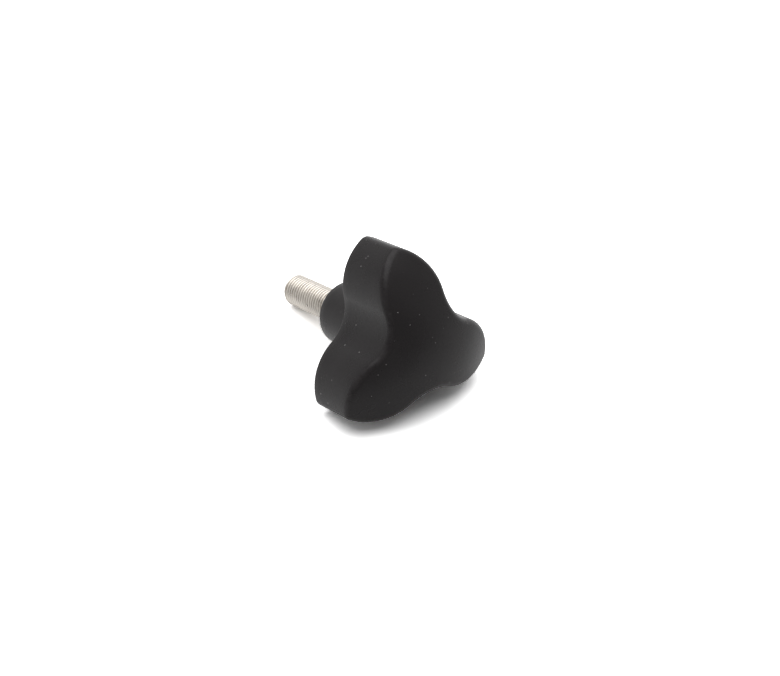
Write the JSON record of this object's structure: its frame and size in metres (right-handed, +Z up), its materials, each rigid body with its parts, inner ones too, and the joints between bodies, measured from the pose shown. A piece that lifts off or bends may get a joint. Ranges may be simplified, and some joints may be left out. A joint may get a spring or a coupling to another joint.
{
  "type": "three-lobed clamping knob with threaded stud",
  "caption": "Black moulded clamping knob with a lobed, domed head and a round hub, and a fixed steel stud with a fine thread; it lies on its side.",
  "frame": {"origin": "middle of the footprint, on the surface the knob lies on", "axes": "+Z up, +Y from the domed face towards the stud's tip, one lobe up, mirror plane at x = 0"},
  "size_m": [0.0528, 0.0732, 0.0511],
  "materials": {
    "black_plastic": "satin",
    "zinc_plated_steel": "satin"
  },
  "bodies": {
    "root": {"lobed_head": "black_plastic", "threaded_stud": "zinc_plated_steel"}
  },
  "joints": []
}
